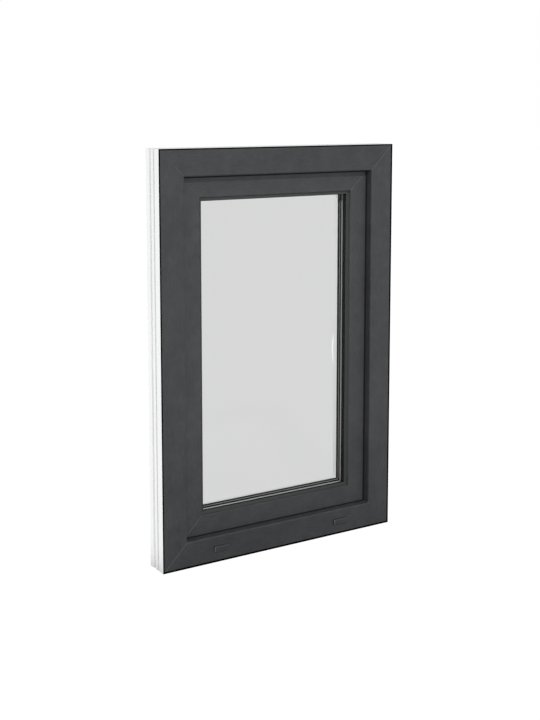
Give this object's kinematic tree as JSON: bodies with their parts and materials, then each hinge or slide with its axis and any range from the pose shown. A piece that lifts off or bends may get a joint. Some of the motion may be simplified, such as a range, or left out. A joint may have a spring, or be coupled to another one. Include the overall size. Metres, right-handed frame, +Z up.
{
  "type": "pvc window",
  "caption": "Single-sash window with mitred white profiles, a dark foil on the outside, double glazing and a bowed lever handle inside.",
  "frame": {"origin": "middle of the frame's bottom face, half way through the frame's depth", "axes": "+X to the right and -Y out of the building when the window is seen from outside, +Z up"},
  "size_m": [0.7, 0.1485, 1.05],
  "materials": {
    "foil": "fine grained satin foil",
    "pvc_white": "smooth satin",
    "glass": "clear, faint green",
    "gasket": "matt black",
    "seal": "matt black",
    "spacer": "matt, warm edge",
    "handle": "white satin coating",
    "hinge_cover": "white satin coating",
    "hinge_pin": "zinc plated",
    "drain_cap": "moulded satin"
  },
  "bodies": {
    "root": {"bead_bottom": "pvc_white", "bead_gasket": "gasket", "bead_left": "pvc_white", "bead_right": "pvc_white", "bead_top": "pvc_white", "drain_cap_left": "drain_cap", "drain_cap_right": "drain_cap", "edge_seal": "seal", "frame_head": "pvc_white", "frame_head_foil": "foil", "frame_jamb_left": "pvc_white", "frame_jamb_left_foil": "foil", "frame_jamb_right": "pvc_white", "frame_jamb_right_foil": "foil", "frame_sill": "pvc_white", "frame_sill_foil": "foil", "frame_stop_gasket": "gasket", "glass_pane_inner": "glass", "glass_pane_outer": "glass", "handle_lever": "handle", "handle_rosette": "handle", "hinge_bottom_frame_half": "hinge_cover", "hinge_bottom_pin": "hinge_pin", "hinge_bottom_sash_half": "hinge_cover", "hinge_top_frame_half": "hinge_cover", "hinge_top_pin": "hinge_pin", "hinge_top_sash_half": "hinge_cover", "outer_glazing_gasket": "gasket", "sash_bottom_rail": "pvc_white", "sash_bottom_rail_foil": "foil", "sash_gasket": "gasket", "sash_left_stile": "pvc_white", "sash_left_stile_foil": "foil", "sash_right_stile": "pvc_white", "sash_right_stile_foil": "foil", "sash_top_rail": "pvc_white", "sash_top_rail_foil": "foil", "spacer_bar": "spacer"}
  },
  "joints": []
}
